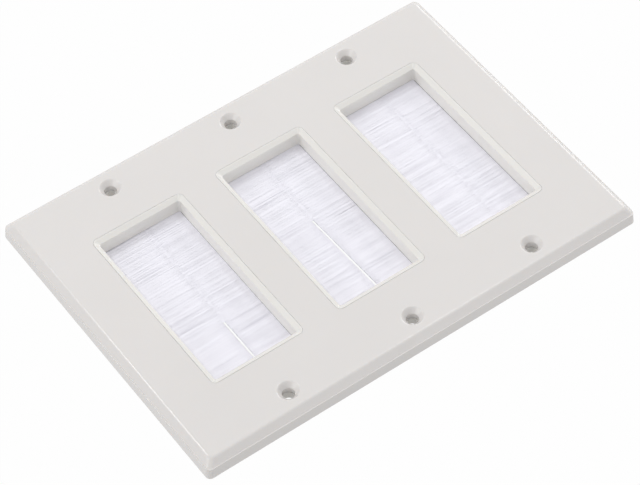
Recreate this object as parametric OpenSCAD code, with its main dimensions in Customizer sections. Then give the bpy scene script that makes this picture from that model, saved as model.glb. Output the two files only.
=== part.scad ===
// Three-gang wall plate with a brush insert in each opening.
// The plate lies on its back: X runs across the gangs, Y runs from the lower screws to
// the upper ones, and Z points out of the wall. The origin is under the middle of the plate,
// on the plane of the lowest faces behind the inserts.

/* [Wall plate] */
// Width of the plate, across the gangs; at 162 the gangs stand 46.04 apart, as in standard boxes
plate_w = 162; // [159:0.3:168]
// Height of the plate on the wall, along the openings; at 114.3 its screws stand 96.84 apart
plate_l = 114.3; // [112:0.1:118]
// Depth of the plate, from the wall to its front face
plate_h = 6.4; // [6:0.1:7.4]
// Wall thickness of the moulding
plate_wall = 2.4; // [1.8:0.1:2.6]
// Radius of the four corners, seen from the front
corner_r = 1.5; // [1:0.1:4]
// Width of the sloping rim, from the side to the flat face
rim_w = 2.5; // [1.5:0.1:4]
// Drop of the sloping rim, from the flat face to the side
rim_drop = 2.4; // [1:0.1:3.6]
// Draft of the side, from the wall up to the rim
side_draft = 0.3; // [0:0.05:0.6]
// Rounding where the rim meets the side
rim_edge_r = 0.5; // [0.1:0.1:0.8]
// Rounding where the rim meets the flat face
face_edge_r = 1.4; // [0.4:0.1:2]

/* [Openings and screw holes] */
// Distance from the side of the plate to the first opening
side_margin = 18.21; // [17:0.01:20]
// Width of the bar between two openings
mullion_w = 12.54; // [12:0.01:14]
// Distance from the end of the plate to an opening
end_margin = 23.45; // [22:0.05:25]
// Corner radius of an opening
opening_r = 2; // [1:0.1:3]
// Distance from the end of the plate to a plate screw
screw_inset = 8.73; // [8:0.01:10]
// Diameter of a plate screw hole
screw_hole_d = 4; // [3.6:0.1:4.4]
// Diameter of the countersink at the face
sink_d = 7; // [6:0.1:8]
// Full angle of the countersink
sink_angle = 82; // [78:1:92]
// Wall of the boss behind a screw hole
boss_wall = 2; // [1.2:0.1:2.6]
// Thickness of the ribs and collars behind the face
rib_t = 1.2; // [0.8:0.1:1.8]

/* [Insert frame] */
// Gap between the insert and the edge of its opening, on each side
seam_gap = 0.15; // [0.1:0.05:0.3]
// Flat land between the seam and the sloping bezel
land_w = 0.3; // [0.1:0.05:0.6]
// Width of the sloping bezel, from its land to the window
bezel_w = 1.4; // [0.6:0.1:2]
// Drop of the sloping bezel
bezel_drop = 1; // [0.4:0.1:1.6]
// Corner radius of the window
window_r = 0.8; // [0.3:0.1:1.5]
// Depth from the face to the roof of the brush pocket
pocket_depth = 6.2; // [5.6:0.1:6.8]
// Thickness of the pocket's roof around the neck
roof_t = 1.4; // [1:0.1:1.8]
// Wall thickness of the pocket
pocket_wall = 1.5; // [1.2:0.1:1.8]
// Outer corner radius of the pocket
pocket_r = 2; // [1.7:0.1:3]
// Thickness of the ears that the plate screws go into
ear_t = 2.6; // [1.6:0.1:2.8]
// Width of an ear
ear_w = 24; // [20:0.5:30]
// Length of an ear past its plate screw hole
ear_end = 4.4; // [3:0.1:4.6]
// Corner radius of an ear
ear_r = 3; // [1:0.5:4]
// Diameter of the threaded plate screw hole in an ear, across the thread
ear_hole_d = 3.5; // [3:0.1:3.6]
// Distance from a plate screw to the box screw slot beside it
box_screw_step = 6.75; // [6.5:0.01:7.2]
// Width of a box screw slot
slot_w = 3.8; // [3.5:0.1:4.2]
// Length of a box screw slot, along X
slot_l = 6.6; // [5:0.1:8]

/* [Brush strips] */
// Height of the folded channel that grips the filaments
channel_h = 3.6; // [3.2:0.1:4]
// Depth of the channel, from its back to its mouth
channel_d = 4; // [3.5:0.1:4.4]
// Thickness of the channel's sheet
channel_t = 0.45; // [0.3:0.05:0.55]
// Depth at which the channel's legs begin to pinch in
pinch_start = 2.4; // [2:0.1:2.8]
// Height of the channel's mouth
mouth_h = 1.6; // [1.2:0.1:1.9]
// Diameter of the core wire that the filaments are folded round
wire_d = 0.9; // [0.6:0.1:1.1]
// Thickness of the brush at its tips
tip_h = 3; // [2:0.1:3.2]
// Thickness of the brush just past the mouth, where it has fanned out
belly_h = 2.6; // [2:0.1:3]
// Distance from the mouth to where the brush has fanned out
fan_run = 5; // [3:0.5:7]
// Gap between the tips of the two strips
tip_gap = 0.9; // [0.5:0.1:2]
// How far the meeting line lies right of the window's middle
meet_offset = 1.9; // [-2.4:0.1:2.4]
// Width of one tuft along the strip
tuft_pitch = 1.1; // [1:0.05:2.2]
// Width of the slit between two tufts, at the tips
slit_w = 0.16; // [0.08:0.02:0.3]
// How much the lengths of the tufts differ
tip_ragged = 0.3; // [0:0.05:0.4]
// Clearance round a strip in its pocket
strip_fit = 0.1; // [0.05:0.05:0.2]
// How far a strip runs on past the end of the window
strip_past_end = 1.1; // [0.6:0.1:1.4]

/* [Retainer] */
// Thickness of the rear retainer
retainer_t = 1.6; // [1.2:0.1:2]
// Clearance round the retainer in the pocket
retainer_fit = 0.15; // [0.1:0.05:0.3]
// How much wider the retainer's window is than the front one, on each side
retainer_step = 0.3; // [0.1:0.1:0.5]
// Height of the catches that hold the retainer
catch_h = 0.6; // [0.5:0.1:1]
// Reach of a catch from the pocket's wall
catch_reach = 0.7; // [0.5:0.05:1]
// Length of a catch
catch_l = 8; // [4:0.5:12]
// Distance between the two catches of one side
catch_span = 36; // [20:1:44]

/* [Hidden] */
$fn = 64;

ivory = "#DFDDD9";
insert_ivory = "#E3E1DB";
nylon = "#EDECF4";
steel = "#A9ABAE";

// Cuts run past the faces that they open by this much
over = 1;
// Segments in the small roundings of the rim's profile
arc_steps = 5;
// Share of a catch's height where its blunt nose begins
catch_nose = 0.7;
// Openings side by side in the plate
gangs = 3;

// Openings and screws, placed from the edges of the plate
opening_w = (plate_w - 2 * side_margin - (gangs - 1) * mullion_w) / gangs;
opening_l = plate_l - 2 * end_margin;
gang_pitch = opening_w + mullion_w;
screw_span = plate_l - 2 * screw_inset;
box_span = screw_span - 2 * box_screw_step;

// Heights, from the lowest faces up
pocket_roof_z = catch_h + retainer_t + channel_h + strip_fit;
face_z = pocket_roof_z + pocket_depth;
wall_z = face_z - plate_h;
skin_z = face_z - plate_wall;
roof_z = pocket_roof_z + roof_t;
ear_top_z = wall_z + ear_t;
collar_z = max(roof_z, ear_top_z);
retainer_top_z = catch_h + retainer_t;
strip_z = retainer_top_z + channel_h / 2;

// Sizes of one insert; the pocket's inner corners clear the square ends of the strips
insert_w = opening_w - 2 * seam_gap;
insert_l = opening_l - 2 * seam_gap;
insert_r = opening_r - seam_gap;
window_w = insert_w - 2 * (land_w + bezel_w);
window_l = insert_l - 2 * (land_w + bezel_w);
strip_l = window_l + 2 * strip_past_end;
pocket_w = window_w + 2 * (channel_d + 2 * strip_fit);
pocket_l = strip_l + 2 * strip_fit;
pocket_inner_r = 3 * strip_fit;
box_w = pocket_w + 2 * pocket_wall;
box_l = pocket_l + 2 * pocket_wall;
ear_l = screw_span + 2 * ear_end;
bezel_top_w = insert_w - 2 * land_w;
bezel_top_l = insert_l - 2 * land_w;

// Sizes of one strip, with x measured from the back of its channel to the tips
strip_back_x = window_w / 2 + channel_d + strip_fit;
belly_x = channel_d + fan_run;
wire_x = channel_h / 2;
bundle_h = channel_h - 2 * channel_t - strip_fit;
// Inner radius of the channel's bends
bend_r = 0.6 * channel_t;
// Shares of the bundle's half height, up to and along the fold round the wire
fold_rise = 0.4;
fold_run = 0.5;
// Share of a tuft's length that is slit from the next one, and the slit's width at its root
slit_share = 0.62;
slit_root_w = 0.2 * slit_w;
// Degrees that scatter the lengths of the tufts, by tuft, gang and side
scatter_turn = 137.5;
scatter_wave = 47;
scatter_gang = 61;
scatter_side = 23;
tuft_count = floor(strip_l / tuft_pitch);

function gang_x(g) = (g - (gangs - 1) / 2) * gang_pitch;
function unit(v) = v / norm(v);

// Points of a rounding of radius r at the corner p, between its neighbours a and b
function round_corner(a, p, b, r) =
    let (
        u = unit(a - p),
        v = unit(b - p),
        half_angle = acos(u * v) / 2,
        centre = p + unit(u + v) * r / sin(half_angle),
        mid = atan2(p.y - centre.y, p.x - centre.x),
        turn = sign(u.x * v.y - u.y * v.x) * (90 - half_angle)
    )
    [for (i = [0:arc_steps]) centre + r * [
        cos(mid + turn * (1 - 2 * i / arc_steps)),
        sin(mid + turn * (1 - 2 * i / arc_steps))
    ]];

// Section across the plate: a drafted side, a sloping rim and a flat face
function rim_points(half, below, top) =
    let (
        foot = [half, -below],
        edge = [half - side_draft, top - rim_drop],
        brow = [half - rim_w, top]
    )
    concat(
        [foot],
        round_corner(foot, edge, brow, rim_edge_r),
        round_corner(edge, brow, [0, top], face_edge_r)
    );

module rim_section(half, below, top) {
    right = rim_points(half, below, top);
    left = [for (i = [len(right) - 1:-1:0]) [-right[i].x, right[i].y]];
    polygon(concat(right, left));
}

// Solid with the rim's section both ways, so that the rims meet in mitred corners
module rimmed_block(w, l, below, top, plan_r) {
    intersection() {
        rotate([90, 0, 0])
            linear_extrude(l + 2 * over, center = true)
                rim_section(w / 2, below, top);
        rotate([90, 0, 90])
            linear_extrude(w + 2 * over, center = true)
                rim_section(l / 2, below, top);
        prism(w, l, plan_r, -over, top + over);
    }
}

module rounded_rect(w, l, r) {
    square([w - 2 * r, l], center = true);
    square([w, l - 2 * r], center = true);
    for (x = [-1, 1], y = [-1, 1])
        translate([x * (w / 2 - r), y * (l / 2 - r)])
            circle(r);
}

module prism(w, l, r, z0, z1) {
    translate([0, 0, z0])
        linear_extrude(z1 - z0)
            rounded_rect(w, l, r);
}

// Trapezoid that is w wide at height 0 and narrows by step on each side over the drop
module slope_section(w, step, drop) {
    polygon([
        [w / 2 + step, drop],
        [-w / 2 - step, drop],
        [-w / 2 + step, -drop],
        [w / 2 - step, -drop]
    ]);
}

// Funnel that cuts the four sloping faces of a bezel, with mitred corners
module bezel_funnel() {
    translate([0, 0, face_z])
        intersection() {
            rotate([90, 0, 0])
                linear_extrude(insert_l + 2 * over, center = true)
                    slope_section(bezel_top_w, bezel_w, bezel_drop);
            rotate([90, 0, 90])
                linear_extrude(insert_w + 2 * over, center = true)
                    slope_section(bezel_top_l, bezel_w, bezel_drop);
        }
}

// Countersunk hole through the face and its boss
module screw_hole() {
    sink_depth = (sink_d - screw_hole_d) / 2 / tan(sink_angle / 2);
    translate([0, 0, wall_z - over])
        cylinder(d = screw_hole_d, h = plate_h + 2 * over);
    translate([0, 0, face_z - sink_depth])
        cylinder(d1 = screw_hole_d, d2 = sink_d, h = sink_depth);
    translate([0, 0, face_z])
        cylinder(d = sink_d, h = over);
}

module plate_boss() {
    translate([0, 0, ear_top_z])
        cylinder(d = screw_hole_d + 2 * boss_wall, h = skin_z - ear_top_z + over / 2);
}

// Collar behind an opening, which bears on the insert's ears
module opening_collar() {
    prism(opening_w + 2 * rib_t, opening_l + 2 * rib_t, opening_r + rib_t, collar_z, skin_z + over / 2);
}

// Upright ribs behind the face, between the gangs
module gang_ribs() {
    rib_l = plate_l - 2 * plate_wall;
    for (x = [-1, 1])
        translate([x * gang_pitch / 2 - rib_t / 2, -rib_l / 2, ear_top_z])
            cube([rib_t, rib_l, skin_z - ear_top_z + over / 2]);
}

// Short ribs from each boss to the end wall of the plate
module boss_ribs() {
    inner = screw_span / 2 + screw_hole_d / 2 + boss_wall / 2;
    outer = plate_l / 2 - plate_wall / 2;
    for (g = [0:gangs - 1], y = [-1, 1])
        translate([gang_x(g) - rib_t / 2, y > 0 ? inner : -outer, ear_top_z])
            cube([rib_t, outer - inner, skin_z - ear_top_z + over / 2]);
}

module wall_plate() {
    cavity_w = plate_w - 2 * plate_wall;
    cavity_l = plate_l - 2 * plate_wall;
    cavity_r = max(corner_r - plate_wall, rib_t / 2);
    color(ivory)
        difference() {
            union() {
                translate([0, 0, wall_z])
                    difference() {
                        rimmed_block(plate_w, plate_l, 0, plate_h, corner_r);
                        rimmed_block(cavity_w, cavity_l, over, plate_h - plate_wall, cavity_r);
                    }
                for (g = [0:gangs - 1])
                    translate([gang_x(g), 0, 0]) {
                        opening_collar();
                        for (y = [-1, 1])
                            translate([0, y * screw_span / 2, 0])
                                plate_boss();
                    }
                gang_ribs();
                boss_ribs();
            }
            for (g = [0:gangs - 1])
                translate([gang_x(g), 0, 0]) {
                    prism(opening_w, opening_l, opening_r, wall_z - over, face_z + over);
                    for (y = [-1, 1])
                        translate([0, y * screw_span / 2, 0])
                            screw_hole();
                }
        }
}

// Slot for a box screw, long across the ear
module box_slot() {
    reach = (slot_l - slot_w) / 2;
    translate([0, 0, wall_z - over])
        linear_extrude(ear_t + 2 * over) {
            square([2 * reach, slot_w], center = true);
            for (x = [-1, 1])
                translate([x * reach, 0])
                    circle(d = slot_w);
        }
}

// Catches along the pocket's long walls: flat on top, sloping underneath
module catches() {
    for (side = [0, 180], y = [-1, 1])
        rotate([0, 0, side])
            translate([pocket_w / 2, y * catch_span / 2, 0])
                rotate([90, 0, 0])
                    linear_extrude(catch_l, center = true)
                        polygon([
                            [pocket_wall / 2, catch_h],
                            [-catch_reach, catch_h],
                            [-catch_reach, catch_h * catch_nose],
                            [0, 0],
                            [pocket_wall / 2, 0]
                        ]);
}

module insert_frame(g) {
    color(insert_ivory)
        translate([gang_x(g), 0, 0])
            difference() {
                union() {
                    prism(insert_w, insert_l, insert_r, pocket_roof_z, face_z);
                    difference() {
                        prism(box_w, box_l, pocket_r, 0, roof_z);
                        prism(pocket_w, pocket_l, pocket_inner_r, -over, pocket_roof_z);
                    }
                    difference() {
                        prism(ear_w, ear_l, ear_r, wall_z, ear_top_z);
                        prism(pocket_w, pocket_l, pocket_inner_r, wall_z - over, ear_top_z + over);
                    }
                    catches();
                }
                prism(window_w, window_l, window_r, pocket_roof_z - over, face_z + over);
                bezel_funnel();
                for (y = [-1, 1]) {
                    translate([0, y * screw_span / 2, wall_z - over])
                        cylinder(d = ear_hole_d, h = ear_t + 2 * over);
                    translate([0, y * box_span / 2, 0])
                        box_slot();
                }
            }
}

// Frame pressed in from the back, which holds both strips against the roof
module retainer(g) {
    w = pocket_w - 2 * retainer_fit;
    l = pocket_l - 2 * retainer_fit;
    color(insert_ivory)
        translate([gang_x(g), 0, 0])
            difference() {
                prism(w, l, pocket_inner_r, catch_h, retainer_top_z);
                prism(window_w + 2 * retainer_step, window_l + 2 * retainer_step, window_r, 0, retainer_top_z + over);
            }
}

// Section of the channel, folded from sheet and pinched in at its mouth
module channel_section() {
    h = channel_h / 2;
    m = mouth_h / 2;
    upper = concat(
        round_corner([0, 0], [0, h], [pinch_start, h], bend_r + channel_t),
        [[pinch_start, h], [channel_d, m + channel_t], [channel_d, m], [pinch_start, h - channel_t]],
        round_corner([pinch_start, h - channel_t], [channel_t, h - channel_t], [channel_t, 0], bend_r)
    );
    lower = [for (i = [len(upper) - 1:-1:0]) [upper[i].x, -upper[i].y]];
    polygon(concat(upper, lower));
}

// Side view of the filaments: a bundle round the wire, a neck at the mouth and a fan
module fan_section(tip_x) {
    b = bundle_h / 2;
    back = channel_t + strip_fit;
    neck = mouth_h / 2 - strip_fit / 2;
    difference() {
        polygon([
            [back, b * fold_rise],
            [back + b * fold_run, b],
            [pinch_start, b],
            [channel_d, neck],
            [belly_x, belly_h / 2],
            [tip_x, tip_h / 2],
            [tip_x, -tip_h / 2],
            [belly_x, -belly_h / 2],
            [channel_d, -neck],
            [pinch_start, -b],
            [back + b * fold_run, -b],
            [back, -b * fold_rise]
        ]);
        translate([wire_x, 0])
            circle(d = wire_d + strip_fit);
    }
}

// Front view of the tufts: straight at the channel, slit and ragged towards the tips
module comb_outline(tip_x, phase) {
    pitch = strip_l / tuft_count;
    slit_x = channel_d + (tip_x - channel_d) * (1 - slit_share);
    function scatter(i) = sin(i * scatter_turn + phase) * cos(i * scatter_wave + 2 * phase);
    function tuft_tip(i) = tip_x - tip_ragged * (1 + scatter(i)) / 2;
    tufts = [for (i = [0:tuft_count - 1], corner = [0:3]) [
        corner == 1 || corner == 2 ? tuft_tip(i) : slit_x,
        -strip_l / 2 + pitch * i + (
            corner == 0 ? slit_root_w / 2
            : corner == 1 ? slit_w / 2
            : corner == 2 ? pitch - slit_w / 2
            : pitch - slit_root_w / 2
        )
    ]];
    polygon(concat([[0, -strip_l / 2], [slit_x - slit_w, -strip_l / 2]], tufts,
        [[slit_x - slit_w, strip_l / 2], [0, strip_l / 2]]));
}

// Places a strip's own frame in gang g: side is -1 for the left strip and 1 for the right
module in_strip(g, side) {
    translate([gang_x(g) + side * strip_back_x, 0, strip_z])
        rotate([0, 0, side > 0 ? 180 : 0])
            children();
}

module along_strip(length) {
    rotate([90, 0, 0])
        linear_extrude(length, center = true)
            children();
}

module channel(g, side) {
    color(steel)
        in_strip(g, side)
            along_strip(strip_l)
                channel_section();
}

module core_wire(g, side) {
    color(steel)
        in_strip(g, side)
            translate([wire_x, 0, 0])
                rotate([90, 0, 0])
                    cylinder(d = wire_d, h = strip_l, center = true);
}

module bristles(g, side) {
    tip_x = strip_back_x - side * meet_offset - tip_gap / 2;
    color(nylon)
        in_strip(g, side)
            intersection() {
                along_strip(strip_l)
                    fan_section(tip_x);
                translate([0, 0, -tip_h])
                    linear_extrude(2 * tip_h)
                        comb_outline(tip_x, g * scatter_gang + side * scatter_side);
            }
}

wall_plate();
for (g = [0:gangs - 1]) {
    insert_frame(g);
    retainer(g);
    channel(g, -1);
    channel(g, 1);
    core_wire(g, -1);
    core_wire(g, 1);
    bristles(g, -1);
    bristles(g, 1);
}
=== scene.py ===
"""Brush wall plate: the looks of a three-gang plate whose openings each hold a pair of strip brushes."""

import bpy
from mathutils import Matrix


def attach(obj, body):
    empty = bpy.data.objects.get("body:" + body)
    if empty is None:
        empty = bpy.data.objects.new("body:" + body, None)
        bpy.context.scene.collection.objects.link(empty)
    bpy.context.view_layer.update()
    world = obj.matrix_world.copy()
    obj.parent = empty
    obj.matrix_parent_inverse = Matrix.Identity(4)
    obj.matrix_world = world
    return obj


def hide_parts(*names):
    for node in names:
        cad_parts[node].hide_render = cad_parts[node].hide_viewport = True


bl_info = {
    "name": "Brush Wall Plate",
    "version": (1, 0, 0),
    "blender": (4, 5, 0),
    "location": "3D View > Sidebar > Brush Plate",
    "description": "Builds a glossy wall plate, its inserts and the filaments of its strip brushes",
    "category": "Object",
}

import math
import random

import bpy
import numpy as np
from bpy.props import FloatProperty, FloatVectorProperty, IntProperty, PointerProperty
from mathutils import Euler, Matrix, Vector

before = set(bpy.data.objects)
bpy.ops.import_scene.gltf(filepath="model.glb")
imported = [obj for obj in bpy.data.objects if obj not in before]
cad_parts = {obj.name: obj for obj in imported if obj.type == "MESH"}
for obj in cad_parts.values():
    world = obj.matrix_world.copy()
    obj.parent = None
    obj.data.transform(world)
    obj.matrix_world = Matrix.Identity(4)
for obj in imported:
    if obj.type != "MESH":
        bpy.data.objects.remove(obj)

GANGS = (1, 2, 3)
SIDES = {"left": -1, "right": 1}
MM = 0.001
ENLARGED = 1024


def srgb(code):
    """Linear colour of a hex sRGB code."""
    parts = [int(code[i : i + 2], 16) / 255 for i in (1, 3, 5)]
    return [c / 12.92 if c <= 0.04045 else ((c + 0.055) / 1.055) ** 2.4 for c in parts]


def length(name, description, millimetres, **more):
    return FloatProperty(
        name=name, description=description, default=millimetres * MM, unit="LENGTH", precision=5, **more
    )


def tint(name, description, code):
    return FloatVectorProperty(
        name=name, description=description, default=srgb(code), subtype="COLOR", size=3, min=0, max=1
    )


class PlateSizes(bpy.types.PropertyGroup):
    width: length("Width", "Width of the plate across its gangs", 162)
    height: length("Height", "Height of the plate on the wall", 114.3)
    depth: length("Depth", "Depth of the plate from the wall to its face", 6.4)
    face: length("Face Level", "Height of the plate's face over the lowest parts behind it", 12.1)
    wall: length("Wall", "Wall thickness of the moulding", 2.4)
    corner: length("Corner Radius", "Radius of the four corners", 1.5)
    rim_width: length("Rim Width", "Width of the sloping rim", 2.5)
    rim_drop: length("Rim Drop", "Drop of the sloping rim", 2.4)
    ledge: length("Ledge", "Width of the narrow flat ledge between the side and the rim", 0.4)
    draft: length("Draft", "Draft of the side", 0.3)
    rim_round: length("Rim Rounding", "Rounding between the rim and the side", 0.5)
    face_round: length("Face Rounding", "Rounding between the rim and the face", 1.4)
    pitch: length("Gang Pitch", "Distance from one gang to the next", 46.04)
    opening_width: length("Opening Width", "Width of one opening", 33.5)
    opening_length: length("Opening Length", "Length of one opening", 67.4)
    opening_round: length("Opening Corner", "Corner radius of an opening", 2)
    lip_round: length("Lip Rounding", "Rounding of the edges round the openings", 0.1)
    screw_span: length("Screw Span", "Distance between the two plate screws of a gang", 96.84)
    screw_hole: length("Screw Hole", "Diameter of a plate screw hole", 4)
    sink_width: length("Countersink", "Diameter of the countersink at the face", 7)
    sink_angle: FloatProperty(
        name="Countersink Angle",
        description="Full angle of the countersink",
        default=math.radians(82),
        subtype="ANGLE",
    )
    boss_wall: length("Boss Wall", "Wall of the boss behind a screw hole", 2)
    rib: length("Rib", "Thickness of the ribs and collars behind the face", 1.2)


class InsertSizes(bpy.types.PropertyGroup):
    width: length("Width", "Width of an insert in its opening", 33.36)
    length: length("Length", "Length of an insert in its opening", 67.26)
    corner: length("Corner Radius", "Corner radius of an insert", 1.85)
    land: length("Land", "Flat land outside the sloping bezel", 0.35)
    bezel: length("Bezel", "Width of the sloping bezel", 1.4)
    bezel_drop: length("Bezel Drop", "Drop of the sloping bezel", 1)
    window_round: length("Window Corner", "Corner radius of the window", 0.8)
    pocket_width: length("Pocket Width", "Width of the brush pocket inside", 38.2)
    pocket_length: length("Pocket Length", "Length of the brush pocket inside", 66.1)
    pocket_depth: length("Pocket Depth", "Depth from the face to the pocket's roof", 6.2)
    pocket_round: length("Pocket Corner", "Corner radius inside the pocket", 0.3)
    box_round: length("Box Corner", "Corner radius outside the pocket", 2)
    wall: length("Wall", "Wall thickness of the pocket", 1.5)
    roof: length("Roof", "Thickness of the pocket's roof", 1.4)
    ear: length("Ear", "Thickness of an ear", 2.6)
    ear_width: length("Ear Width", "Width of an ear", 24)
    ear_length: length("Ear Length", "Length over both ears", 105.64)
    ear_corner: length("Ear Corner", "Corner radius of an ear", 3)
    ear_hole: length("Ear Hole", "Diameter of the threaded hole in an ear", 3.5)
    box_span: length("Box Span", "Distance between the box screw slots", 83.34)
    slot_width: length("Slot Width", "Width of a box screw slot", 3.8)
    slot_length: length("Slot Length", "Length of a box screw slot", 6.6)
    catch_height: length("Catch Height", "Height of a catch that holds the retainer", 0.6)
    catch_reach: length("Catch Reach", "Reach of a catch from the pocket's wall", 0.7)
    catch_length: length("Catch Length", "Length of a catch", 8)
    catch_span: length("Catch Span", "Distance between the two catches of a side", 36)
    edge_round: length("Edge Rounding", "Rounding of the edges that show in the window", 0.1)


class BrushSizes(bpy.types.PropertyGroup):
    strip_length: length("Strip Length", "Length of one strip brush", 65.9)
    level: length("Level", "Height of a strip's middle over the lowest parts", 4)
    back: length("Channel Back", "Distance from the gang's middle to the back of a channel", 19)
    mouth: length("Channel Depth", "Depth of a channel from its back to its mouth", 4)
    root_thickness: length("Root Thickness", "Thickness of the bundle inside its channel", 1.4)
    tip_thickness: length("Tip Thickness", "Thickness of the brush past its mouth", 3.7)
    fold_back: length("Fold Start", "How far inside the channel's mouth the filaments start to spread", 0.1)
    fold_out: length("Fold End", "How far outside the channel's mouth the filaments are spread", 0.15)
    filament: length("Filament", "Diameter of one filament", 0.22)
    meet_offset: length("Meeting Offset", "How far the meeting line lies right of the middle", 1.9)
    open_gap: length("Open Gap", "Gap between the tips where the two strips part", 0.9)
    overlap: length("Overlap", "How far the tips of a strip reach past the meeting line elsewhere", 0.45)
    ragged: length("Ragged Tips", "How much the lengths of neighbouring filaments differ", 0.28)
    slant: length("Slanted Tips", "How far the tips' cut slants where the strips part", 0.82)
    slant_along: length("Slanted Start", "How far the start of the parting slants along the strip", 1.15)
    tuft: length("Tuft", "Width of one tuft along the strip", 2.2)
    rows: IntProperty(name="Rows", description="Rows of loose filaments on each side of the packed middle", default=4)
    seed: IntProperty(name="Seed", description="Number that the filaments' scatter starts from", default=7)


class FinishColours(bpy.types.PropertyGroup):
    plate: tint("Plate", "Colour of the plate's moulded plastic", "#DDDAD8")
    insert: tint("Insert", "Colour of the inserts' moulded plastic", "#E5E3DF")
    filament: tint("Filament", "Colour of the nylon filaments", "#F8F7FF")
    steel: tint("Steel", "Colour of the galvanised channels", "#A9ABAE")
    floor: tint("Floor", "Colour of the floor under the plate", "#4A4A4A")


def number(name, description, default):
    return FloatProperty(name=name, description=description, default=default, min=0)


class StudioSettings(bpy.types.PropertyGroup):
    ambient: number("Ambient", "Strength of the light from all round", 0.705)
    back: number("Back Softbox", "Brightness of the small softbox behind the left corner", 20)
    overhead: number("Overhead Softbox", "Brightness of the small softbox over the right side", 10.5)
    left: number("Left Softbox", "Brightness of the large softbox to the left", 1.7)
    right: number("Right Softbox", "Brightness of the large softbox to the right", 3.6)
    front: number("Front Softbox", "Brightness of the low softbox in front", 9)
    table: number("Table Light", "Brightness of the light that comes up through the floor", 0.48)
    floor_share: number("Floor Share", "Share of white light in what the camera sees of the floor", 0.98)
    lens: FloatProperty(name="Lens", description="Focal length on a 36 mm sensor", default=152.1, unit="CAMERA")


GROUPS = {
    "brush_plate_sizes": PlateSizes,
    "brush_insert_sizes": InsertSizes,
    "brush_strip_sizes": BrushSizes,
    "brush_finish": FinishColours,
    "brush_studio": StudioSettings,
}


# Modelling helpers


def deselect():
    if bpy.context.mode != "OBJECT":
        bpy.ops.object.mode_set(mode="OBJECT")
    bpy.ops.object.select_all(action="DESELECT")


def activate(piece):
    deselect()
    piece.select_set(True)
    bpy.context.view_layer.objects.active = piece


def place_in_mesh(piece):
    """Puts the object's place, turn and scale into its mesh."""
    activate(piece)
    bpy.ops.object.transform_apply(location=True, rotation=True, scale=True)


def block(name, width, depth, low, high, x=0.0, y=0.0):
    """A cube of that width along X and depth along Y, from low to high."""
    deselect()
    bpy.ops.mesh.primitive_cube_add(size=1, location=(x, y, (low + high) / 2))
    made = bpy.context.object
    made.name = made.data.name = name
    made.scale = (width, depth, high - low)
    place_in_mesh(made)
    return made


def rod(name, diameter, low, high, x=0.0, y=0.0, sides=64):
    """An upright cylinder from low to high."""
    deselect()
    bpy.ops.mesh.primitive_cylinder_add(
        vertices=sides, radius=diameter / 2, depth=high - low, location=(x, y, (low + high) / 2)
    )
    made = bpy.context.object
    made.name = made.data.name = name
    place_in_mesh(made)
    return made


def pick(piece, kind, test):
    """Selects the faces, edges or vertices that pass the test, and stays in edit mode."""
    activate(piece)
    bpy.ops.object.mode_set(mode="EDIT")
    bpy.ops.mesh.select_mode(type={"faces": "FACE", "edges": "EDGE", "vertices": "VERT"}[kind])
    bpy.ops.mesh.select_all(action="DESELECT")
    bpy.ops.object.mode_set(mode="OBJECT")
    mesh = piece.data
    picked = 0
    for part in {"faces": mesh.polygons, "edges": mesh.edges, "vertices": mesh.vertices}[kind]:
        ends = [part.co] if kind == "vertices" else [mesh.vertices[v].co for v in part.vertices]
        part.select = bool(test(part, ends))
        picked += part.select
    if not picked:
        raise RuntimeError(f"no {kind} of {piece.name} pass the test")
    bpy.ops.object.mode_set(mode="EDIT")


def upright(edge, ends):
    """True for an edge that runs along Z."""
    run = ends[1] - ends[0]
    return run.length > 1e-7 and abs(run.z) > 0.9 * run.length


def facing(direction, level=None, near=1e-5):
    """A test for faces that point that way, at that level along it if one is given."""
    way = Vector(direction)

    def test(face, ends):
        return face.normal.dot(way) > 0.999 and (level is None or abs(ends[0].dot(way) - level) < near)

    return test


def rounded_block(name, width, depth, low, high, radius, x=0.0, y=0.0, steps=10):
    """A block with its four upright edges rounded."""
    made = block(name, width, depth, low, high, x, y)
    pick(made, "edges", upright)
    bpy.ops.mesh.bevel(offset=radius, segments=steps, profile=0.5, affect="EDGES")
    bpy.ops.object.mode_set(mode="OBJECT")
    return made


def rescale(piece, factor):
    piece.scale = (factor, factor, factor)
    place_in_mesh(piece)


def combine(piece, other, operation):
    """Adds the other solid to the piece, or cuts it out of it, and removes it. Both are enlarged for it,
    because the solver joins points that lie within a few hundredths of a millimetre at their true size."""
    rescale(piece, ENLARGED)
    rescale(other, ENLARGED)
    before = len(piece.data.vertices)
    activate(piece)
    step = piece.modifiers.new(operation.title(), "BOOLEAN")
    step.operation = operation
    step.object = other
    step.solver = "EXACT"
    bpy.ops.object.modifier_apply(modifier=step.name)
    rescale(piece, 1 / ENLARGED)
    name = other.name
    bpy.data.objects.remove(other, do_unlink=True)
    if len(piece.data.vertices) == before or is_open(piece):
        raise RuntimeError(f"{piece.name} isn't a closed solid after {name}")


def is_open(piece):
    """True if an edge of the piece has more or fewer than two faces."""
    activate(piece)
    bpy.ops.object.mode_set(mode="EDIT")
    bpy.ops.mesh.select_mode(type="EDGE")
    bpy.ops.mesh.select_all(action="DESELECT")
    bpy.ops.mesh.select_non_manifold()
    bpy.ops.object.mode_set(mode="OBJECT")
    return any(edge.select for edge in piece.data.edges)


def cut(piece, *tools):
    for tool in tools:
        combine(piece, tool, "DIFFERENCE")


def add(piece, *others):
    for other in others:
        combine(piece, other, "UNION")


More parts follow.
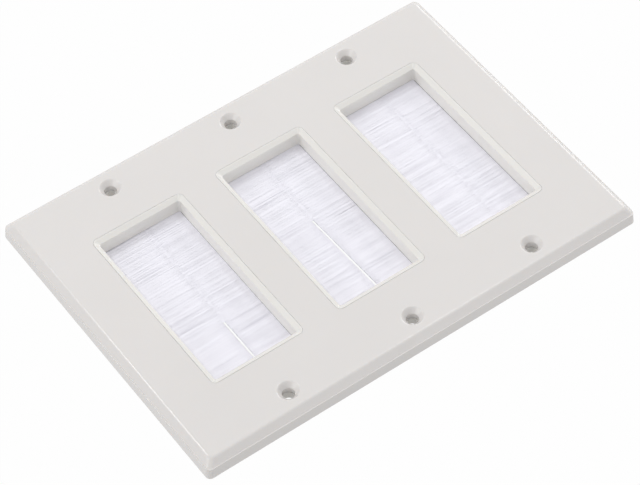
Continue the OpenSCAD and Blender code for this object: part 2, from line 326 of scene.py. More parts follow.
def flare(tool, top, radius, over, steps=4):
    """Opens a cutter's top face outwards along a quarter circle, which leaves the cut's edge rounded.
    The cutter's top stands at top - radius before, and ends past top. The argument top is not used."""
    pick(tool, "faces", facing((0, 0, 1)))
    before = 0.0
    risen = 0.0
    for i in range(1, steps + 1):
        angle = math.pi / 2 * i / steps
        out = radius * (1 - math.cos(angle))
        rise = radius * math.sin(angle)
        bpy.ops.mesh.extrude_region_move(TRANSFORM_OT_translate={"value": (0, 0, rise - risen)})
        low, high = extent_of_selected(tool)
        wide, deep = high.x - low.x, high.y - low.y
        grow = 2 * (out - before)
        centre = (low + high) / 2
        bpy.ops.transform.resize(
            value=((wide + grow) / wide, (deep + grow) / deep, 1), center_override=centre
        )
        before, risen = out, rise
    bpy.ops.mesh.extrude_region_move(TRANSFORM_OT_translate={"value": (0, 0, over)})
    bpy.ops.object.mode_set(mode="OBJECT")


def extent_of_selected(piece):
    """Lowest and highest corner of what is selected in edit mode."""
    piece.update_from_editmode()
    spots = [v.co for v in piece.data.vertices if v.select]
    return Vector([min(s[i] for s in spots) for i in range(3)]), Vector([max(s[i] for s in spots) for i in range(3)])


def copy_piece(piece, name, shift=(0, 0, 0)):
    """A copy with its own mesh, moved over."""
    activate(piece)
    bpy.ops.object.duplicate(linked=False)
    made = bpy.context.object
    made.name = made.data.name = name
    made.location = Vector(made.location) + Vector(shift)
    place_in_mesh(made)
    return made


def soften(piece, width, angle=32, steps=2):
    """Rounds the piece's sharp edges."""
    activate(piece)
    step = piece.modifiers.new("Rounding", "BEVEL")
    step.width = width
    step.segments = steps
    step.limit_method = "ANGLE"
    step.angle_limit = math.radians(angle)
    step.use_clamp_overlap = True
    step.miter_outer = "MITER_ARC"
    step.harden_normals = False
    bpy.ops.object.modifier_apply(modifier=step.name)


def smooth(piece, angle=32):
    activate(piece)
    bpy.ops.object.shade_smooth_by_angle(angle=math.radians(angle))
    step = piece.modifiers.new("Even Normals", "WEIGHTED_NORMAL")
    step.keep_sharp = True
    step.weight = 50
    bpy.ops.object.modifier_apply(modifier=step.name)


def tidy(piece, near=2e-6):
    """Merges doubles and turns every face outwards."""
    activate(piece)
    bpy.ops.object.mode_set(mode="EDIT")
    bpy.ops.mesh.select_all(action="SELECT")
    bpy.ops.mesh.remove_doubles(threshold=near)
    bpy.ops.mesh.normals_make_consistent(inside=False)
    bpy.ops.object.mode_set(mode="OBJECT")


def finish_piece(piece, material, slot, *nodes):
    piece.data.materials.clear()
    piece.data.materials.append(material)
    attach(piece, "root")
    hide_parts(*nodes)


def gang_x(gang):
    return (gang - 2) * bpy.context.scene.brush_plate_sizes.pitch


# Materials


def node(tree, kind, x=0, y=0, inputs=None, **settings):
    """Adds a node, sets it up and gives its inputs their values or links."""
    made = tree.nodes.new(kind)
    made.location = (x, y)
    for key, value in settings.items():
        setattr(made, key, value)
    for key, value in (inputs or {}).items():
        if isinstance(value, bpy.types.NodeSocket):
            tree.links.new(value, made.inputs[key])
        else:
            made.inputs[key].default_value = value
    return made


def material(name):
    made = bpy.data.materials.new(name)
    made.use_nodes = True
    made.node_tree.nodes.clear()
    return made, made.node_tree


def end(tree, shader):
    node(tree, "ShaderNodeOutputMaterial", 900, 0, {"Surface": shader.outputs[0]})


def shade(colour, factor):
    return [c * factor for c in colour] + [1]


def per_mm(scale):
    """Scale of a texture with that many features in a millimetre."""
    return scale / MM


def moulded_plastic(name, colour, roughness):
    """Glossy injection-moulded ABS. The eye sees an even pale body, a faint cloudiness of the pigment,
    fine orange peel that breaks up the edge of a highlight, and dull patches from handling."""
    made, tree = material(name)
    where = node(tree, "ShaderNodeTexCoord", -1100, 0).outputs["Object"]
    # Pigment that is mixed a little unevenly
    cloud = node(tree, "ShaderNodeTexNoise", -900, 200, {"Vector": where, "Scale": per_mm(0.045), "Detail": 3.0})
    pigment = node(
        tree, "ShaderNodeMix", -600, 200,
        {"Factor": cloud.outputs["Fac"], "A": shade(colour, 0.975), "B": shade(colour, 1.02)},
        data_type="RGBA",
    )
    # Dull patches where hands and the mould's polish differ
    patch = node(tree, "ShaderNodeTexNoise", -900, -50, {"Vector": where, "Scale": per_mm(0.12), "Detail": 4.0})
    dull = node(
        tree, "ShaderNodeMapRange", -600, -50,
        {"Value": patch.outputs["Fac"], "To Min": roughness - 0.04, "To Max": roughness + 0.06},
    )
    # Orange peel of the moulded skin
    peel = node(tree, "ShaderNodeTexNoise", -900, -300, {"Vector": where, "Scale": per_mm(0.9), "Detail": 2.0})
    bump = node(
        tree, "ShaderNodeBump", -300, -300,
        {"Height": peel.outputs["Fac"], "Strength": 0.12, "Distance": 0.02 * MM},
    )
    skin = node(
        tree, "ShaderNodeBsdfPrincipled", 400, 0,
        {
            "Base Color": pigment.outputs["Result"],
            "Roughness": dull.outputs["Result"],
            "IOR": 1.53,
            "Normal": bump.outputs["Normal"],
            "Subsurface Weight": 0.15,
            "Subsurface Radius": (1.2 * MM, 1.0 * MM, 0.8 * MM),
            "Subsurface Scale": 1.0,
        },
    )
    end(tree, skin)
    return made


def nylon_filament(name, colour):
    """Drawn nylon filament. The eye sees a bright, cool white, a soft sheen, and slight differences from
    filament to filament."""
    made, tree = material(name)
    shade_of = node(tree, "ShaderNodeAttribute", -900, 100, attribute_name="filament_shade")
    body = node(
        tree, "ShaderNodeMix", -600, 100,
        {"Factor": shade_of.outputs["Fac"], "A": shade(colour, 0.975), "B": shade(colour, 1.0)},
        data_type="RGBA",
    )
    skin = node(
        tree, "ShaderNodeBsdfPrincipled", 400, 0,
        {
            "Base Color": body.outputs["Result"],
            "Roughness": 0.45,
            "IOR": 1.53,
        },
    )
    end(tree, skin)
    return made


def galvanised_steel(name, colour, across):
    """Zinc-coated steel, rolled or drawn. The eye sees a soft grey metal with fine lines along the strip and
    cloudy patches of zinc."""
    made, tree = material(name)
    where = node(tree, "ShaderNodeTexCoord", -1300, 0).outputs["Object"]
    # Lines of rolling or drawing, long along the strip
    along = node(tree, "ShaderNodeMapping", -1100, -200, {"Vector": where, "Scale": across})
    lines = node(tree, "ShaderNodeTexNoise", -900, -200, {"Vector": along.outputs[0], "Scale": per_mm(2.5), "Detail": 3.0})
    zinc = node(tree, "ShaderNodeTexNoise", -900, 200, {"Vector": where, "Scale": per_mm(0.35), "Detail": 3.0})
    coat = node(
        tree, "ShaderNodeMix", -600, 200,
        {"Factor": zinc.outputs["Fac"], "A": shade(colour, 0.85), "B": shade(colour, 1.05)},
        data_type="RGBA",
    )
    rough = node(
        tree, "ShaderNodeMapRange", -600, -50,
        {"Value": lines.outputs["Fac"], "To Min": 0.32, "To Max": 0.5},
    )
    bump = node(
        tree, "ShaderNodeBump", -300, -300,
        {"Height": lines.outputs["Fac"], "Strength": 0.2, "Distance": 0.01 * MM},
    )
    skin = node(
        tree, "ShaderNodeBsdfPrincipled", 400, 0,
        {
            "Base Color": coat.outputs["Result"],
            "Metallic": 1.0,
            "Roughness": rough.outputs["Result"],
            "Normal": bump.outputs["Normal"],
        },
    )
    end(tree, skin)
    return made


# Plate


def rimmed_block(name, sizes, width, depth, low, high, corner):
    """The plate's outer form: a drafted side, a sloping rim with soft hips and a flat face."""
    shoulder = high - sizes.rim_drop
    made = block(name, width, depth, low, shoulder)
    pick(made, "faces", facing((0, 0, 1)))
    bpy.ops.transform.resize(
        value=(1 - 2 * sizes.draft / width, 1 - 2 * sizes.draft / depth, 1), center_override=(0, 0, shoulder)
    )
    bpy.ops.mesh.inset(thickness=sizes.ledge, depth=0)
    bpy.ops.mesh.inset(thickness=sizes.rim_width - sizes.draft - sizes.ledge, depth=sizes.rim_drop)
    bpy.ops.object.mode_set(mode="OBJECT")

    def corner_line(edge, ends):
        """The upright edges, and the lines over the ledge and up the hips that run on from them."""
        run = ends[1] - ends[0]
        slanting = min(abs(run.x), abs(run.y)) > 0.3 * run.length
        return slanting or abs(run.z) > 0.9 * run.length

    pick(made, "edges", corner_line)
    bpy.ops.mesh.bevel(offset=corner, segments=8, profile=0.5, affect="EDGES", clamp_overlap=True)
    bpy.ops.object.mode_set(mode="OBJECT")
    return made


class BRUSHPLATE_OT_wall_plate(bpy.types.Operator):
    """Builds the wide plate with its three openings and six countersunk screw holes"""

    bl_idname = "brushplate.wall_plate"
    bl_label = "Wall Plate"

    def execute(self, context):
        sizes = context.scene.brush_plate_sizes
        colours = context.scene.brush_finish
        face = sizes.face
        back = face - sizes.depth
        ear_top = back + context.scene.brush_insert_sizes.ear
        over = 1 * MM
        plate = rimmed_block("wall_plate_moulding", sizes, sizes.width, sizes.height, back, face, sizes.corner)

        # Softened lines where the side, the rim and the face meet
        shoulder = face - sizes.rim_drop

        def at_level(level):
            return lambda edge, ends: all(abs(e.z - level) < 1e-6 for e in ends) and edge_is_outline(ends)

        def edge_is_outline(ends):
            return max(abs(ends[0].x), abs(ends[0].y)) > 0.04

        def outside_of_ledge(edge, ends):
            middle = (ends[0] + ends[1]) / 2
            if any(abs(end.z - shoulder) > 1e-6 for end in ends):
                return False
            beyond_x = abs(middle.x) - sizes.width / 2 + sizes.draft
            beyond_y = abs(middle.y) - sizes.height / 2 + sizes.draft
            if (ends[1] - ends[0]).length > 1 * MM:
                return max(beyond_x, beyond_y) > -1e-5
            return math.hypot(beyond_x + sizes.corner, beyond_y + sizes.corner) > sizes.corner - 0.12 * MM

        pick(plate, "edges", at_level(face))
        bpy.ops.mesh.bevel(offset=0.6 * MM, segments=6, profile=0.5, affect="EDGES")
        bpy.ops.object.mode_set(mode="OBJECT")
        pick(plate, "edges", outside_of_ledge)
        bpy.ops.mesh.bevel(offset=0.07 * MM, segments=2, profile=0.5, affect="EDGES")
        bpy.ops.object.mode_set(mode="OBJECT")

        # The hollow behind the face
        hollow = block(
            "hollow", sizes.width - 2 * sizes.wall, sizes.height - 2 * sizes.wall, back - over, face - sizes.wall - sizes.rim_drop
        )
        pick(hollow, "faces", facing((0, 0, 1)))
        bpy.ops.mesh.inset(thickness=sizes.rim_width - sizes.draft, depth=sizes.rim_drop)
        bpy.ops.object.mode_set(mode="OBJECT")
        cut(plate, hollow)

        # Collars, bosses and ribs behind the face
        skin = face - sizes.wall + over / 2
        for gang in GANGS:
            x = gang_x(gang)
            add(
                plate,
                rounded_block(
                    "collar", sizes.opening_width + 2 * sizes.rib, sizes.opening_length + 2 * sizes.rib,
                    ear_top, skin, sizes.opening_round + sizes.rib, x,
                ),
            )
            for end_of in (-1, 1):
                y = end_of * sizes.screw_span / 2
                inner = sizes.screw_span / 2 + sizes.screw_hole / 2 + sizes.boss_wall / 2
                outer = sizes.height / 2 - sizes.wall / 2
                add(
                    plate,
                    rod("boss", sizes.screw_hole + 2 * sizes.boss_wall, ear_top, skin, x, y),
                    block("boss_rib", sizes.rib, outer - inner, ear_top, skin, x, end_of * (inner + outer) / 2),
                )
        for side in (-1, 1):
            rib_length = sizes.height - 2 * sizes.wall
            add(plate, block("gang_rib", sizes.rib, rib_length, ear_top, skin, side * sizes.pitch / 2))

        # Openings and countersunk holes, each with a softened edge
        sink_depth = (sizes.sink_width - sizes.screw_hole) / 2 / math.tan(sizes.sink_angle / 2)
        for gang in GANGS:
            x = gang_x(gang)
            lip = sizes.lip_round
            tool = rounded_block(
                "opening", sizes.opening_width, sizes.opening_length, back - over, face - lip, sizes.opening_round, x
            )
            flare(tool, face, lip, over)
            cut(plate, tool)
            for end_of in (-1, 1):
                y = end_of * sizes.screw_span / 2
                cut(plate, self.countersink(sizes, x, y, face, back, sink_depth, over))
        tidy(plate)
        smooth(plate)
        finish_piece(
            plate, moulded_plastic("ivory_moulded_plastic", list(colours.plate), 0.2), "plate_plastic", "wall_plate"
        )
        return {"FINISHED"}

    def countersink(self, sizes, x, y, face, back, sink_depth, over):
        """A cutter for a screw hole: a rod, its cone, and a small flare at the face."""
        soft = 0.15 * MM
        tool = rod("screw_hole", sizes.screw_hole, back - over, face - sink_depth, x, y, 48)
        pick(tool, "faces", facing((0, 0, 1)))
        bpy.ops.mesh.extrude_region_move(TRANSFORM_OT_translate={"value": (0, 0, sink_depth - soft)})
        wide = sizes.sink_width - 2 * soft * math.tan(sizes.sink_angle / 2)
        grow = wide / sizes.screw_hole
        bpy.ops.transform.resize(value=(grow, grow, 1), center_override=(x, y, face))
        tilt = sizes.sink_angle / 2
        reach = soft
        at = wide
        steps = 3
        for i in range(1, steps + 1):
            lean = tilt + (math.pi / 2 - tilt) * i / steps
            rise = soft / steps
            bpy.ops.mesh.extrude_region_move(TRANSFORM_OT_translate={"value": (0, 0, rise)})
            after = at + 2 * min(rise * math.tan(lean * 0.97), reach * 1.2)
            bpy.ops.transform.resize(value=(after / at, after / at, 1), center_override=(x, y, face))
            at = after
        bpy.ops.mesh.extrude_region_move(TRANSFORM_OT_translate={"value": (0, 0, over)})
        bpy.ops.object.mode_set(mode="OBJECT")
        return tool


class BRUSHPLATE_OT_insert_frames(bpy.types.Operator):
    """Builds the moulded frame that fills each opening, with its bezel, brush pocket and ears"""

    bl_idname = "brushplate.insert_frames"
    bl_label = "Insert Frames"

    def execute(self, context):
        plate = context.scene.brush_plate_sizes
        sizes = context.scene.brush_insert_sizes
        colours = context.scene.brush_finish
        face = plate.face
        back = face - plate.depth
        roof_low = face - sizes.pocket_depth
        roof_top = roof_low + sizes.roof
        over = 1 * MM
        frame_piece = rounded_block("insert", sizes.width, sizes.length, roof_low, face, sizes.corner)
        soft_top(frame_piece, face, sizes.edge_round)
        add(
            frame_piece,
            rounded_block(
                "pocket", sizes.pocket_width + 2 * sizes.wall, sizes.pocket_length + 2 * sizes.wall,
                0, roof_top, sizes.box_round,
            ),
            rounded_block("ears", sizes.ear_width, sizes.ear_length, back, back + sizes.ear, sizes.ear_corner),
        )
        cut(
            frame_piece,
            rounded_block(
                "pocket_space", sizes.pocket_width, sizes.pocket_length, -over, roof_low, sizes.pocket_round, steps=4
            ),
        )
        for side in (-1, 1):
            for end_of in (-1, 1):
                add(frame_piece, self.catch(sizes, side, end_of))
        cut(frame_piece, self.window(sizes, face, roof_low, over))
        for end_of in (-1, 1):
            y = end_of * plate.screw_span / 2
            cut(frame_piece, rod("ear_hole", sizes.ear_hole, back - over, back + sizes.ear + over, 0, y, 48))
            y = end_of * sizes.box_span / 2
            cut(
                frame_piece,
                rounded_block(
                    "box_slot", sizes.slot_length, sizes.slot_width, back - over, back + sizes.ear + over,
                    sizes.slot_width / 2 - 0.001 * MM, 0, y,
                ),
            )
        tidy(frame_piece)
        plastic = moulded_plastic("warm_ivory_moulded_plastic", list(colours.insert), 0.24)
        for gang in GANGS:
            piece = copy_piece(frame_piece, f"insert_frame_moulding_{gang}", (gang_x(gang), 0, 0))
            smooth(piece)
            finish_piece(piece, plastic, "insert_plastic", f"insert_frame_{gang}")
        bpy.data.objects.remove(frame_piece, do_unlink=True)
        return {"FINISHED"}

    def catch(self, sizes, side, end_of):
        """A catch inside the pocket: flat on top, sloping underneath."""
        y = end_of * sizes.catch_span / 2
        wall = side * sizes.pocket_width / 2
        made = block(
            "catch", sizes.catch_reach + sizes.wall / 2, sizes.catch_length, 0, sizes.catch_height,
            wall + side * (sizes.wall / 2 - sizes.catch_reach) / 2, y,
        )

        def lower_nose(vertex, ends):
            return abs(vertex.co.x) < abs(wall) - sizes.catch_reach / 2 and vertex.co.z < sizes.catch_height / 2

        pick(made, "vertices", lower_nose)
        bpy.ops.transform.translate(value=(0, 0, 0.7 * sizes.catch_height))
        bpy.ops.object.mode_set(mode="OBJECT")
        return made

    def window(self, sizes, face, roof_low, over):
        """A cutter for the window and the sloping bezel round it."""
        wide = sizes.width - 2 * (sizes.land + sizes.bezel)
        deep = sizes.length - 2 * (sizes.land + sizes.bezel)
        tool = rounded_block("window", wide, deep, roof_low - over, face - sizes.bezel_drop, sizes.window_round)
        pick(tool, "faces", facing((0, 0, 1)))
        reach = sizes.bezel * (1 + over / sizes.bezel_drop)
        bpy.ops.mesh.extrude_region_move(TRANSFORM_OT_translate={"value": (0, 0, sizes.bezel_drop + over)})
        bpy.ops.transform.resize(
            value=((wide + 2 * reach) / wide, (deep + 2 * reach) / deep, 1), center_override=(0, 0, face)
        )
        bpy.ops.object.mode_set(mode="OBJECT")
        return tool


def soft_top(piece, level, width):
    """Rounds the outline of the piece's top face."""
    pick(piece, "edges", lambda edge, ends: all(abs(e.z - level) < 1e-6 for e in ends))
    bpy.ops.mesh.bevel(offset=width, segments=3, profile=0.5, affect="EDGES")
    bpy.ops.object.mode_set(mode="OBJECT")


# Where along Y the two strips of a gang part, and where tufts part, in millimetres
PARTED = {1: (-33.5, -11), 2: (-33.5, 5), 3: (-33.5, -29.5)}
# How far the meeting line drifts to the left along each insert, in mm for each mm
SKEW = {1: 0.0, 2: 0.03, 3: 0.0}
PARTINGS = {
    (1, "left"): (11.0, 4.0, -9.0),
    (1, "right"): (11.2, -4.0, -20.0),
    (2, "left"): (19.0, -2.5, -6.5, -18.0),
    (2, "right"): (12.0, -2.8, -22.0),
    (3, "left"): (15.0, 10.0, 7.0, -12.0),
    (3, "right"): (3.0, -8.0, 21.0),
}


# How far left of the plate's middle the camera stands
CAMERA_SIDE = 297 * MM
# Where a filament bends as it leaves its channel, as shares of the template's length
FOLD = (0.11, 0.2)


class BRUSHPLATE_OT_bristles(bpy.types.Operator):
    """Builds the filaments of the six strip brushes"""

    bl_idname = "brushplate.bristles"
    bl_label = "Bristles"

    def execute(self, context):
        sizes = context.scene.brush_strip_sizes
        nylon = nylon_filament("drawn_nylon_filament", list(context.scene.brush_finish.filament))
        template = self.filament(sizes)
        for gang in GANGS:
            for word, side in SIDES.items():
                piece = self.strip(sizes, template, gang, word, side)
                finish_piece(piece, nylon, "nylon_bristle", f"{word}_bristles_{gang}")
        bpy.data.objects.remove(template, do_unlink=True)
        return {"FINISHED"}

    def filament(self, sizes):
        """One filament along X from 0 to 1: three-sided, a side up, with joints to bend at and a narrower
        tip."""
        deselect()
        bpy.ops.mesh.primitive_cylinder_add(
            vertices=3, radius=sizes.filament / 2, depth=1, rotation=(0, math.pi / 2, 0), location=(0.5, 0, 0)
        )
        made = bpy.context.object
        made.name = made.data.name = "filament"
        made.matrix_world = Matrix.Rotation(math.radians(30), 4, "X") @ made.matrix_world
        place_in_mesh(made)
        for place in (*FOLD, 0.55, 0.85):
            activate(made)
            bpy.ops.object.mode_set(mode="EDIT")
            bpy.ops.mesh.select_all(action="SELECT")
            bpy.ops.mesh.bisect(plane_co=(place, 0, 0), plane_no=(1, 0, 0))
            bpy.ops.object.mode_set(mode="OBJECT")
        pick(made, "vertices", lambda vertex, ends: vertex.co.x > 0.99)
        bpy.ops.transform.resize(value=(1, 0.8, 0.8), center_override=(1, 0, 0))
        bpy.ops.object.mode_set(mode="OBJECT")
        activate(made)
        bpy.ops.object.mode_set(mode="EDIT")
        bpy.ops.mesh.select_all(action="SELECT")
        bpy.ops.mesh.quads_convert_to_tris()
        bpy.ops.object.mode_set(mode="OBJECT")
        return made

    def packed_middle(self, sizes, gang, side, name):
        """The middle of the bundle, where the filaments lie too close to tell apart: thin in the channel and
        thicker past its mouth."""
        root = sizes.back - sizes.mouth * 0.55
        reach = root - side * sizes.meet_offset - sizes.open_gap - SKEW[gang] * sizes.strip_length / 2
        x = gang_x(gang) + side * (root - reach / 2)
        share = 0.85
        thick = sizes.tip_thickness * share
        made = block(name, reach, sizes.strip_length, sizes.level - thick / 2, sizes.level + thick / 2, x)
        folds = (sizes.mouth * 0.45 - sizes.fold_back, sizes.mouth * 0.45 + sizes.fold_out)
        for place in (*folds, reach * 0.6):
            activate(made)
            bpy.ops.object.mode_set(mode="EDIT")
            bpy.ops.mesh.select_all(action="SELECT")
            at = gang_x(gang) + side * (root - place)
            bpy.ops.mesh.bisect(plane_co=(at, 0, 0), plane_no=(1, 0, 0))
            bpy.ops.object.mode_set(mode="OBJECT")
        thin = sizes.root_thickness / sizes.tip_thickness

        def in_channel(vertex, ends):
            return side * (vertex.co.x - gang_x(gang)) > root - sizes.mouth * 0.45

        pick(made, "vertices", in_channel)
        bpy.ops.transform.resize(value=(1, 1, thin), center_override=(0, 0, sizes.level))
        bpy.ops.object.mode_set(mode="OBJECT")
        for up in (-1, 1):

            def tip_edge(vertex, ends):
                near_tips = side * (vertex.co.x - gang_x(gang)) < root - reach * 0.9
                return near_tips and (vertex.co.z - sizes.level) * up > 0

            pick(made, "vertices", tip_edge)
            bpy.ops.transform.translate(value=(-up * sizes.slant * share, 0, 0))
            bpy.ops.object.mode_set(mode="OBJECT")
        tone = made.data.attributes.new("filament_shade", "FLOAT", "POINT")
        tone.data.foreach_set("value", [0.5] * len(made.data.vertices))
        return made

    def strip(self, sizes, template, gang, word, side):
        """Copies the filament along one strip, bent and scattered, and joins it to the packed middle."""
        name = f"bristle_strip_{word}_{gang}"
        rng = random.Random(sizes.seed * 100 + gang * 10 + side)
        count = len(template.data.vertices)
        form = np.zeros(count * 3)
        template.data.vertices.foreach_get("co", form)
        form = form.reshape(-1, 3)
        faces = np.array([list(p.vertices) for p in template.data.polygons])
        root = sizes.back - sizes.mouth * 0.55
        s = form[:, 0]
        fan = np.clip((s - FOLD[0]) / (FOLD[1] - FOLD[0]), 0, 1)
        folds = (0, sizes.mouth * 0.45 - sizes.fold_back, sizes.mouth * 0.45 + sizes.fold_out)
        half_root, half_tip = sizes.root_thickness / 2, sizes.tip_thickness / 2 - sizes.filament / 2
        spots, shades = [], []
        places = self.places(sizes, gang, word, side, rng)
        for y, level, lean, lift, reach, tone, sway in places:
            x = side * (root - np.interp(s, (0, *FOLD, 1), (*folds, reach)))
            z = sizes.level + level * (half_root + (half_tip - half_root) * fan) + lift * s**2 + form[:, 2]
            z = np.clip(z, sizes.level - sizes.tip_thickness / 2, sizes.level + sizes.tip_thickness / 2)
            along = y + lean * s**2 + sway * np.sin(s * math.pi) + form[:, 1]
            spots.append(np.stack([x + gang_x(gang), along, z], axis=1))
            shades.append(np.full(count, tone))
        spots = np.concatenate(spots)
        loops = (faces[None, :, :] + count * np.arange(len(places))[:, None, None]).reshape(-1, 3)
        if side > 0:
            loops = loops[:, ::-1]
        mesh = bpy.data.meshes.new(name)
        mesh.from_pydata(spots.tolist(), [], loops.tolist())
        tone = mesh.attributes.new("filament_shade", "FLOAT", "POINT")
        tone.data.foreach_set("value", np.concatenate(shades))
        piece = bpy.data.objects.new(name, mesh)
        bpy.context.collection.objects.link(piece)
        middle = self.packed_middle(sizes, gang, side, "packed_middle")
        activate(piece)
        middle.select_set(True)
        bpy.ops.object.join()
        return piece

    def places(self, sizes, gang, word, side, rng):
        """Where each filament stands, how it leans and how far it reaches. Tufts differ a little, and part
        from one another at the partings."""
        root = sizes.back - sizes.mouth * 0.55
        low, high = (v * MM for v in PARTED[gang])
        tufts = int(sizes.strip_length / sizes.tuft)
        pitch = sizes.strip_length / tufts
        across = int(pitch / (sizes.filament * 0.85))
        limit = sizes.strip_length / 2 - sizes.filament
        levels = [sign * (1 - 0.13 * row) for row in range(sizes.rows) for sign in (1, -1)]
        made = []
        for t in range(tufts):
            centre = -sizes.strip_length / 2 + pitch * (t + 0.5)
            tuft_lean = rng.gauss(0, 0.014 * MM)
            tuft_lift = rng.gauss(0, 0.01 * MM)
            for row, level in enumerate(levels):
                stagger = 0.5 * (row // 2 % 2)
                for a in range(across):
                    y = centre + pitch * ((a + 0.25 + stagger) / across - 0.5) + rng.uniform(-0.03, 0.03) * MM
                    y = max(-limit, min(limit, y))
                    lean = tuft_lean + rng.gauss(0, 0.02 * MM)
                    for line in PARTINGS[gang, word]:
                        off = (y - line * MM) / (0.6 * MM)
                        if abs(off) < 1:
                            lean += math.copysign(0.07 * MM * (1 - abs(off)), off)
                    start = high - level * sizes.slant_along
                    parted = smooth_step((y - low) / (1 * MM)) * smooth_step((start - y) / (0.4 * MM))
                    slanted = smooth_step((y - low) / (1 * MM)) * smooth_step((start + 2 * MM - y) / (2 * MM))
                    short = parted * sizes.open_gap / 2 - (1 - parted) * sizes.overlap + sizes.ragged * (rng.random() - 0.5)
                    full = root - side * (sizes.meet_offset - SKEW[gang] * (y + sizes.strip_length / 2))
                    # The cut of the tips slants, so that light comes up between them
                    slant = side * level * sizes.slant * slanted * (1 + gang_x(gang) / CAMERA_SIDE)
                    made.append(
                        (
                            y,
                            level,
                            lean,
                            tuft_lift + rng.gauss(0, 0.012 * MM),
                            full - short + slant,
                            rng.random(),
                            rng.gauss(0, 0.03 * MM),
                        )
                    )
        return made


def smooth_step(v):
    v = max(0.0, min(1.0, v))
    return v * v * (3 - 2 * v)


class BRUSHPLATE_OT_hidden_parts(bpy.types.Operator):
    """Gives the retainers, channels and core wires their finishes"""

    bl_idname = "brushplate.hidden_parts"
    bl_label = "Retainers, Channels and Wires"

    def execute(self, context):
        colours = context.scene.brush_finish
        plain = moulded_plastic("plain_moulded_plastic", list(colours.insert), 0.45)
        sheet = galvanised_steel("galvanised_sheet", list(colours.steel), (1.0, 0.04, 1.0))
        wire = galvanised_steel("galvanised_wire", list(colours.steel), (1.0, 0.02, 1.0))
        finishes = {}
        for gang in GANGS:
            finishes[f"retainer_{gang}"] = plain
            for word in SIDES:
                finishes[f"{word}_channel_{gang}"] = sheet
                finishes[f"{word}_core_wire_{gang}"] = wire
        for name, finish in finishes.items():
            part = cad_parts[name]
            for holder in part.material_slots:
                holder.material = finish
        return {"FINISHED"}


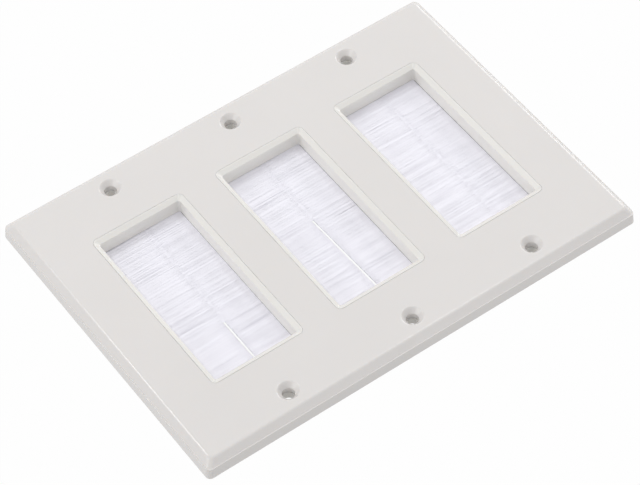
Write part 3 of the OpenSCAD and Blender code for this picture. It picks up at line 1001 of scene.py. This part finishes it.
class BRUSHPLATE_OT_stage(bpy.types.Operator):
    """Sets up the floor, the white surroundings, the softboxes and the camera"""

    bl_idname = "brushplate.stage"
    bl_label = "Stage"

    def execute(self, context):
        scene = context.scene
        studio = scene.brush_studio
        scene.view_settings.view_transform = "Standard"
        self.floor(scene.brush_finish, studio.floor_share, studio.table)
        self.surroundings(scene, studio.ambient)
        self.softbox("back_softbox", (-0.35, 0.39, 0.68), (0.12, 0.11), studio.back)
        self.softbox("overhead_softbox", (0.38, 0.12, 0.9), (0.15, 0.15), studio.overhead)
        self.softbox("left_softbox", (-0.9, 0.05, 0.45), (0.7, 0.5), studio.left)
        self.softbox("right_softbox", (0.75, 0.35, 0.35), (0.5, 0.4), studio.right)
        self.softbox("front_softbox", (0.34, -0.87, 0.08), (0.25, 0.1), studio.front)
        self.camera(scene, studio.lens)
        return {"FINISHED"}

    def floor(self, colours, share, table_light):
        """A wide pale light table that the camera sees as white, apart from the plate's soft shadow."""
        deselect()
        bpy.ops.mesh.primitive_plane_add(size=6, location=(0, 0, 0))
        floor = bpy.context.object
        floor.name = floor.data.name = "studio_floor"
        made, tree = material("white_acrylic_table")
        paper = node(
            tree, "ShaderNodeBsdfDiffuse", 0, 0, {"Color": list(colours.floor) + [1]}
        )
        # Light from below, which comes up through the slits and the screw holes
        table = node(tree, "ShaderNodeEmission", 0, -100, {"Color": (1, 1, 1, 1), "Strength": table_light})
        lit = node(tree, "ShaderNodeAddShader", 200, 0, {0: paper.outputs[0], 1: table.outputs[0]})
        glow = node(tree, "ShaderNodeEmission", 0, -200, {"Color": (1, 1, 1, 1), "Strength": 1.0})
        seen = self.seen_directly(tree)
        white = node(tree, "ShaderNodeMath", 200, 200, {0: seen, 1: share}, operation="MULTIPLY")
        both = node(
            tree, "ShaderNodeMixShader", 400, 0,
            {0: white.outputs[0], 1: lit.outputs[0], 2: glow.outputs[0]},
        )
        end(tree, both)
        floor.data.materials.append(made)

    def seen_directly(self, tree):
        """1 where the camera, a reflection or a refraction sees the surface."""
        path = node(tree, "ShaderNodeLightPath", -600, 300)
        two = node(
            tree, "ShaderNodeMath", -400, 300,
            {0: path.outputs["Is Camera Ray"], 1: path.outputs["Is Glossy Ray"]}, operation="MAXIMUM",
        )
        return node(
            tree, "ShaderNodeMath", -200, 300, {0: two.outputs[0], 1: path.outputs["Is Transmission Ray"]},
            operation="MAXIMUM",
        ).outputs[0]

    def surroundings(self, scene, strength):
        world = bpy.data.worlds.new("studio_surroundings")
        world.use_nodes = True
        tree = world.node_tree
        tree.nodes.clear()
        dim = node(tree, "ShaderNodeBackground", 0, 0, {"Color": (1, 1, 1, 1), "Strength": strength})
        white = node(tree, "ShaderNodeBackground", 0, -200, {"Color": (1, 1, 1, 1), "Strength": 1.0})
        both = node(
            tree, "ShaderNodeMixShader", 300, 0,
            {0: self.seen_directly(tree), 1: dim.outputs[0], 2: white.outputs[0]},
        )
        node(tree, "ShaderNodeOutputWorld", 600, 0, {"Surface": both.outputs[0]})
        scene.world = world

    def softbox(self, name, spot, size, brightness):
        """A rectangular lamp that looks at the plate, given by the brightness of its face."""
        deselect()
        bpy.ops.object.light_add(type="AREA", location=spot)
        lamp = bpy.context.object
        lamp.name = lamp.data.name = name
        lamp.data.shape = "RECTANGLE"
        lamp.data.size, lamp.data.size_y = size
        lamp.data.energy = brightness * math.pi * size[0] * size[1]
        lamp.rotation_euler = (-Vector(spot)).to_track_quat("-Z", "Y").to_euler()

    def camera(self, scene, lens):
        deselect()
        bpy.ops.object.camera_add()
        camera = bpy.context.object
        camera.name = camera.data.name = "photo_camera"
        face = Vector((0, 0, scene.brush_plate_sizes.face))
        spot = Vector((-297.01, -435.22, 656.87)) * MM + face
        aim = Vector((-5.973, -8.928, 0)) * MM + face
        roll = math.radians(-1.907)
        look = (aim - spot).to_track_quat("-Z", "Y").to_matrix().to_4x4()
        camera.matrix_world = Matrix.Translation(spot) @ look @ Matrix.Rotation(roll, 4, "Z")
        camera.data.lens = lens
        camera.data.sensor_width = 36
        camera.data.sensor_fit = "HORIZONTAL"
        camera.data.clip_start = 0.05
        camera.data.clip_end = 20
        scene.camera = camera


class BRUSHPLATE_PT_panel(bpy.types.Panel):
    """Lists the steps that build the brush wall plate"""

    bl_idname = "BRUSHPLATE_PT_panel"
    bl_label = "Brush Wall Plate"
    bl_space_type = "VIEW_3D"
    bl_region_type = "UI"
    bl_category = "Brush Plate"

    def draw(self, context):
        for step in STEPS:
            self.layout.operator(step.bl_idname)
        for group, kind in GROUPS.items():
            box = self.layout.box()
            for name in kind.__annotations__:
                box.prop(getattr(context.scene, group), name)


STEPS = (
    BRUSHPLATE_OT_wall_plate,
    BRUSHPLATE_OT_insert_frames,
    BRUSHPLATE_OT_bristles,
    BRUSHPLATE_OT_hidden_parts,
    BRUSHPLATE_OT_stage,
)


def register():
    for kind in (*GROUPS.values(), *STEPS, BRUSHPLATE_PT_panel):
        bpy.utils.register_class(kind)
    for group, kind in GROUPS.items():
        setattr(bpy.types.Scene, group, PointerProperty(type=kind))


def unregister():
    for group in GROUPS:
        delattr(bpy.types.Scene, group)
    for kind in reversed((*GROUPS.values(), *STEPS, BRUSHPLATE_PT_panel)):
        bpy.utils.unregister_class(kind)


def main():
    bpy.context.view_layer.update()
    register()
    bpy.ops.brushplate.wall_plate()
    bpy.ops.brushplate.insert_frames()
    bpy.ops.brushplate.bristles()
    bpy.ops.brushplate.hidden_parts()
    bpy.ops.brushplate.stage()


if __name__ == "__main__":
    main()
